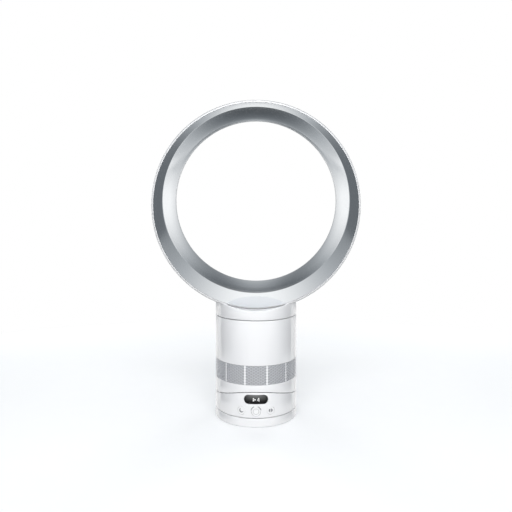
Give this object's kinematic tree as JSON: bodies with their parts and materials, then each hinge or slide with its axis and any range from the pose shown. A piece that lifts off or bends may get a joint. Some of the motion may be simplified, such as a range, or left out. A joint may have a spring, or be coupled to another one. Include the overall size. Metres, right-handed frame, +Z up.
{
  "type": "bladeless fan",
  "caption": "Bladeless desk fan: hollow air loop on a tilting round body, a swivelling control drum with buttons and display, and a round foot.",
  "frame": {"origin": "middle of the foot's underside, on the surface it stands on", "axes": "+Z up, front (display, buttons and air outlet) towards -Y, +X to the right seen from the front"},
  "size_m": [0.359, 0.142, 0.5455],
  "materials": {
    "white_casing": "glossy white moulded plastic",
    "button_white": "glossy white keys",
    "loop_silver": "cool silver satin metallic",
    "intake_grille": "white plastic with fine holes that read grey",
    "display_glass": "glossy black window",
    "black_plastic": "black moulded plastic",
    "dark_plastic": "dark grey moulded plastic",
    "nylon": "natural nylon",
    "rubber": "soft black rubber",
    "steel": "plain steel",
    "copper": "lacquered copper windings",
    "circuit_board": "green circuit board",
    "foam": "open-cell foam"
  },
  "bodies": {
    "foot": {"foot_skirt": "white_casing", "base_plate": "dark_plastic", "foot_pad": "rubber", "gear_screw_1": "steel", "gear_screw_2": "steel", "gear_screw_3": "steel", "gear_screw_4": "steel", "glide_ring": "nylon", "power_inlet": "black_plastic", "pivot_post": "steel", "swivel_clip": "steel", "swivel_gear": "nylon"},
    "drum": {"control_drum": "white_casing", "display_window": "display_glass", "control_board": "circuit_board", "swing_motor": "steel", "tilt_cradle": "dark_plastic"},
    "power_key": {"power_button": "button_white"},
    "night_key": {"night_button": "button_white"},
    "swing_key": {"swing_button": "button_white"},
    "pinion": {"swing_pinion": "nylon"},
    "body": {"tilt_carriage": "dark_plastic", "body_skirt": "white_casing", "intake_grille": "intake_grille", "upper_housing": "white_casing", "motor_mount": "rubber", "impeller_housing": "dark_plastic", "diffuser": "nylon", "motor_bucket": "dark_plastic", "lower_bearing": "steel", "motor_cap": "nylon", "upper_bearing": "steel", "motor_stator": "copper", "silencer_lining": "foam"},
    "rotor": {"impeller": "dark_plastic", "motor_rotor": "steel", "motor_shaft": "steel"},
    "loop": {"loop_casing": "white_casing", "loop_nozzle": "loop_silver", "neck_collar": "white_casing", "neck_seal": "rubber"}
  },
  "joints": [
    {"name": "swivel", "type": "hinge", "parent": "foot", "child": "drum", "pos_m": [0, 0, 0.0155], "axis": [0, 0, 1], "range_deg": [-45, 45]},
    {"name": "pinion_spin", "type": "hinge", "parent": "drum", "child": "pinion", "pos_m": [0, 0.03245, 0.01], "axis": [0, 0, 1], "range_deg": [-135, 135]},
    {"name": "tilt", "type": "hinge", "parent": "drum", "child": "body", "pos_m": [0, 0, 0.2106], "axis": [1, 0, 0], "range_deg": [-10, 10]},
    {"name": "power_press", "type": "slide", "parent": "drum", "child": "power_key", "axis": [0, 1, 0], "range_m": [0, 0.0012], "stiffness_N_per_m": 400},
    {"name": "night_press", "type": "slide", "parent": "drum", "child": "night_key", "axis": [0.342, 0.9397, 0], "range_m": [0, 0.0012], "stiffness_N_per_m": 400},
    {"name": "swing_press", "type": "slide", "parent": "drum", "child": "swing_key", "axis": [-0.342, 0.9397, 0], "range_m": [0, 0.0012], "stiffness_N_per_m": 400},
    {"name": "impeller_spin", "type": "hinge", "parent": "body", "child": "rotor", "pos_m": [0, 0, 0.12], "axis": [0, 0, 1], "continuous": true},
    {"name": "loop_twist", "type": "hinge", "parent": "body", "child": "loop", "pos_m": [0, 0, 0.1755], "axis": [0, 0, 1], "range_deg": [0, 20]}
  ],
  "couplings": [
    {"joint": "pinion_spin", "follows": "swivel", "ratio": 3}
  ]
}
